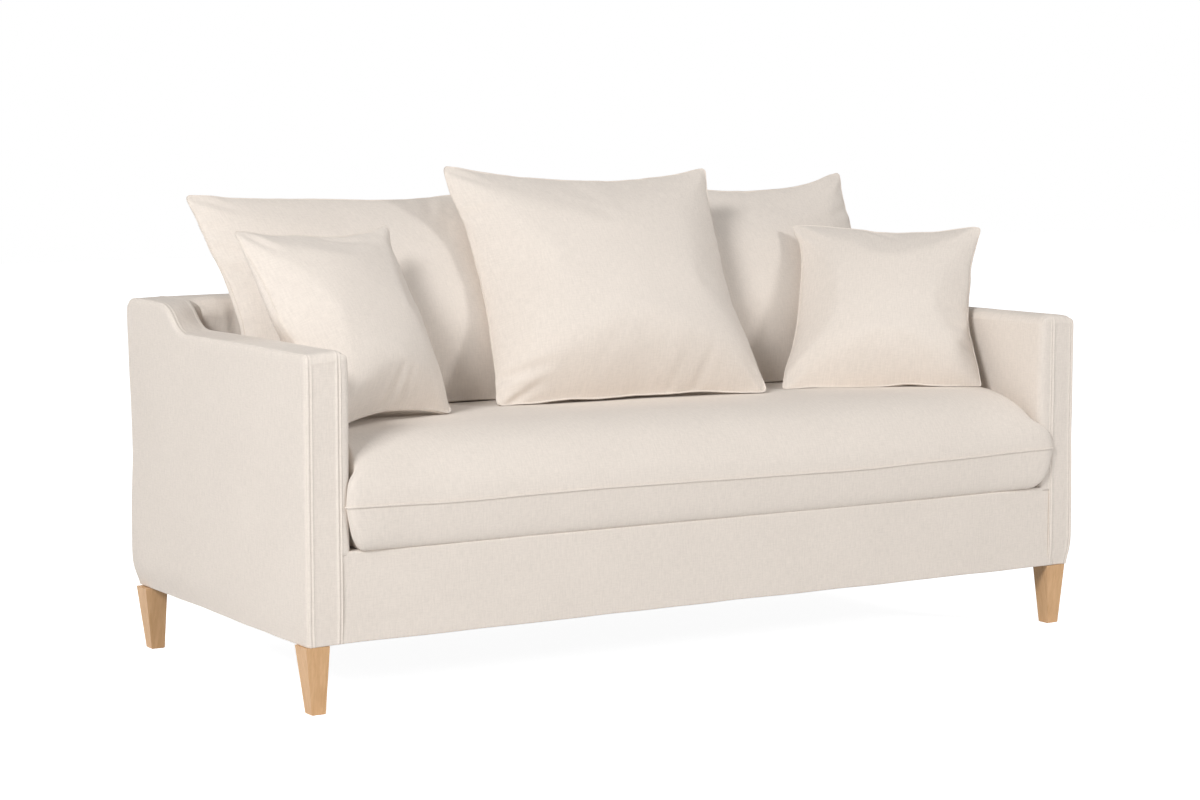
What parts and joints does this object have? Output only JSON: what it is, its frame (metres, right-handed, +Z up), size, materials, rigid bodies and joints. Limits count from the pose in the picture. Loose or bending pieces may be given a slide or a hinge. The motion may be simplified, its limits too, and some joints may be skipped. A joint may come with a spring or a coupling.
{
  "type": "sofa with wooden legs",
  "caption": "Compact upholstered sofa with a fitted loose cover, bench seat cushion, leaning back and scatter cushions, and tapered wooden legs.",
  "frame": {"origin": "on the floor under the middle of the body", "axes": "+Z up, +X along the sofa's width to the right of someone facing it, +Y towards the back"},
  "size_m": [1.8157, 0.822, 0.9674],
  "materials": {
    "beech": "natural beech, matt lacquer",
    "cover_fabric": "brushed woven cotton, warm cream",
    "cushion_fabric": "brushed woven cotton, warm cream",
    "cushion_filling": "white fibre and feather filling",
    "dust_cloth": "black non-woven cloth",
    "hardboard": "hardboard",
    "pine": "planed pine",
    "rubber_black": "matt black",
    "spring_steel": "drawn wire",
    "wadding": "white polyester wadding and felt",
    "webbing": "woven elastic webbing",
    "zinc_steel": "zinc plated"
  },
  "bodies": {
    "frame": {"arm_front_panel_left": "cover_fabric", "arm_front_panel_right": "cover_fabric", "arm_inner_panel_left": "hardboard", "arm_inner_panel_right": "hardboard", "arm_outer_panel_left": "hardboard", "arm_outer_panel_right": "hardboard", "arm_padding_left": "wadding", "arm_padding_right": "wadding", "arm_post_left": "pine", "arm_post_right": "pine", "arm_top_panel_left": "cover_fabric", "arm_top_panel_right": "cover_fabric", "arm_top_rail_left": "pine", "arm_top_rail_right": "pine", "back_padding": "wadding", "back_panel": "hardboard", "back_post_left": "pine", "back_post_right": "pine", "back_tack_rail": "pine", "back_top_rail": "pine", "back_uprights": "pine", "back_webbing": "webbing", "corner_blocks": "pine", "dust_cover": "dust_cloth", "front_apron": "cover_fabric", "hanger_bolts": "zinc_steel", "inside_arm_left": "cover_fabric", "inside_arm_right": "cover_fabric", "inside_back": "cover_fabric", "leg_front_left": "beech", "leg_front_right": "beech", "leg_rear_left": "beech", "leg_rear_right": "beech", "leg_washers": "rubber_black", "outside_arm_left": "cover_fabric", "outside_arm_right": "cover_fabric", "outside_back": "cover_fabric", "seat_deck": "cover_fabric", "seat_platform_pad": "wadding", "seat_rail_front": "pine", "seat_rail_left": "pine", "seat_rail_rear": "pine", "seat_rail_right": "pine", "seat_springs": "spring_steel", "seat_stretchers": "pine", "spring_clips": "spring_steel", "threaded_inserts": "zinc_steel"},
    "seat_cushion": {"seat_cushion_filling": "cushion_filling", "seat_cushion_lower_panel": "cushion_fabric", "seat_cushion_upper_panel": "cushion_fabric"},
    "back_cushion_left": {"back_cushion_left_cover": "cushion_fabric", "back_cushion_left_filling": "cushion_filling"},
    "back_cushion_right": {"back_cushion_right_cover": "cushion_fabric", "back_cushion_right_filling": "cushion_filling"},
    "centre_cushion": {"centre_cushion_cover": "cushion_fabric", "centre_cushion_filling": "cushion_filling"},
    "scatter_cushion_left": {"scatter_cushion_left_cover": "cushion_fabric", "scatter_cushion_left_filling": "cushion_filling"},
    "scatter_cushion_right": {"scatter_cushion_right_cover": "cushion_fabric", "scatter_cushion_right_filling": "cushion_filling"}
  },
  "joints": [
    {"name": "seat_cushion_lift", "type": "slide", "parent": "frame", "child": "seat_cushion", "axis": [0, 0, 1], "range_m": [0, 0.25]},
    {"name": "back_cushion_left_lift", "type": "slide", "parent": "seat_cushion", "child": "back_cushion_left", "axis": [0, 0.5505, 0.8348], "range_m": [0, 0.3]},
    {"name": "back_cushion_right_lift", "type": "slide", "parent": "seat_cushion", "child": "back_cushion_right", "axis": [0, 0.5505, 0.8348], "range_m": [0, 0.3]},
    {"name": "centre_cushion_lift", "type": "slide", "parent": "seat_cushion", "child": "centre_cushion", "axis": [0, 0, 1], "range_m": [0, 0.3]},
    {"name": "scatter_cushion_left_lift", "type": "slide", "parent": "seat_cushion", "child": "scatter_cushion_left", "axis": [0, 0, 1], "range_m": [0, 0.3]},
    {"name": "scatter_cushion_right_lift", "type": "slide", "parent": "seat_cushion", "child": "scatter_cushion_right", "axis": [0, 0, 1], "range_m": [0, 0.3]}
  ]
}
